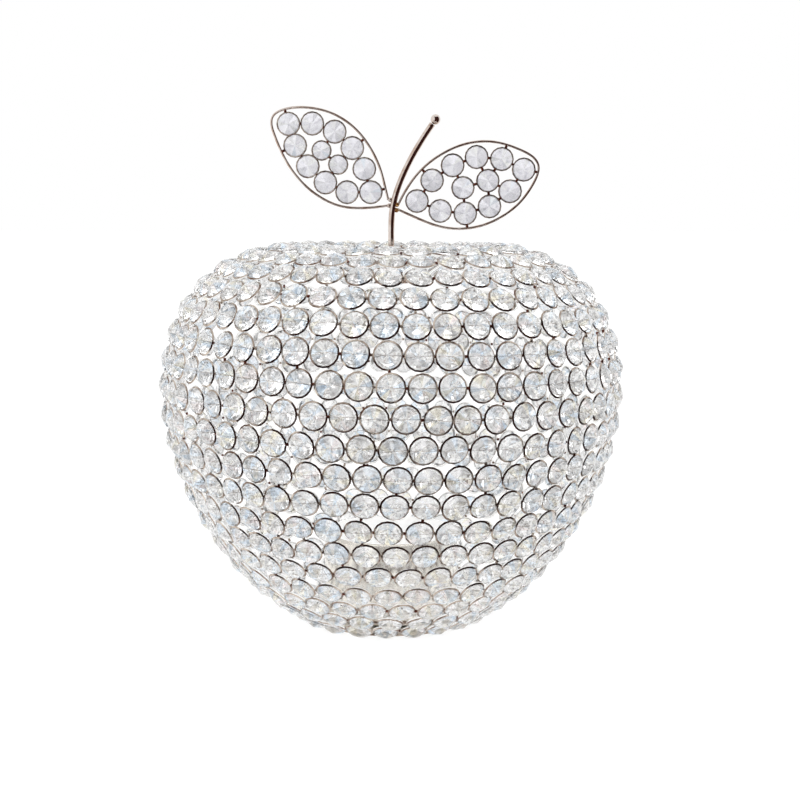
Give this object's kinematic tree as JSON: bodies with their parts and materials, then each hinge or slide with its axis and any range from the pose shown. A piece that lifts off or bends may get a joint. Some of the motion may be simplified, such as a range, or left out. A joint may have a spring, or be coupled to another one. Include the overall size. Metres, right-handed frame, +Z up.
{
  "type": "apple sculpture",
  "caption": "Hollow apple ornament of clear faceted crystals set in rows of soldered wire rings, with a bent plated stem and ring-filled wire leaves, standing on a flat foot.",
  "frame": {"origin": "on the table under the middle of the apple, at the bottom face of the foot plate", "axes": "+Z up along the apple's axis, the pictured front faces -Y, the leaves spread along X, the stem leans to +X"},
  "size_m": [0.2384, 0.2384, 0.2645],
  "materials": {
    "crystal": "clear faceted cut glass",
    "leaf_crystal": "clear faceted cut glass, pale lilac cast",
    "ring_wire": "nickel plated wire with darker solder points",
    "plated_rod": "bright nickel plate",
    "drum": "polished metal"
  },
  "bodies": {
    "root": {"crystal_row_01": "crystal", "crystal_row_02": "crystal", "crystal_row_03": "crystal", "crystal_row_04": "crystal", "crystal_row_05": "crystal", "crystal_row_06": "crystal", "crystal_row_07": "crystal", "crystal_row_08": "crystal", "crystal_row_09": "crystal", "crystal_row_10": "crystal", "crystal_row_11": "crystal", "crystal_row_12": "crystal", "crystal_row_13": "crystal", "crystal_row_14": "crystal", "crystal_row_15": "crystal", "crystal_row_16": "crystal", "crystal_row_17": "crystal", "crystal_row_18": "crystal", "crystal_row_19": "crystal", "crystal_row_20": "crystal", "crystal_row_21": "crystal", "foot_rim": "ring_wire", "ring_row_01": "ring_wire", "ring_row_02": "ring_wire", "ring_row_03": "ring_wire", "ring_row_04": "ring_wire", "ring_row_05": "ring_wire", "ring_row_06": "ring_wire", "ring_row_07": "ring_wire", "ring_row_08": "ring_wire", "ring_row_09": "ring_wire", "ring_row_10": "ring_wire", "ring_row_11": "ring_wire", "ring_row_12": "ring_wire", "ring_row_13": "ring_wire", "ring_row_14": "ring_wire", "ring_row_15": "ring_wire", "ring_row_16": "ring_wire", "ring_row_17": "ring_wire", "ring_row_18": "ring_wire", "ring_row_19": "ring_wire", "ring_row_20": "ring_wire", "ring_row_21": "ring_wire", "left_leaf_frame": "plated_rod", "left_leaf_rings": "ring_wire", "left_leaf_edge_crystals": "leaf_crystal", "left_leaf_inner_crystals": "leaf_crystal", "right_leaf_frame": "plated_rod", "right_leaf_rings": "ring_wire", "right_leaf_edge_crystals": "leaf_crystal", "right_leaf_inner_crystals": "leaf_crystal", "foot_plate": "plated_rod", "crown_plate": "plated_rod", "stem_rod": "plated_rod", "stem_ball": "plated_rod", "base_drum": "drum"}
  },
  "joints": []
}
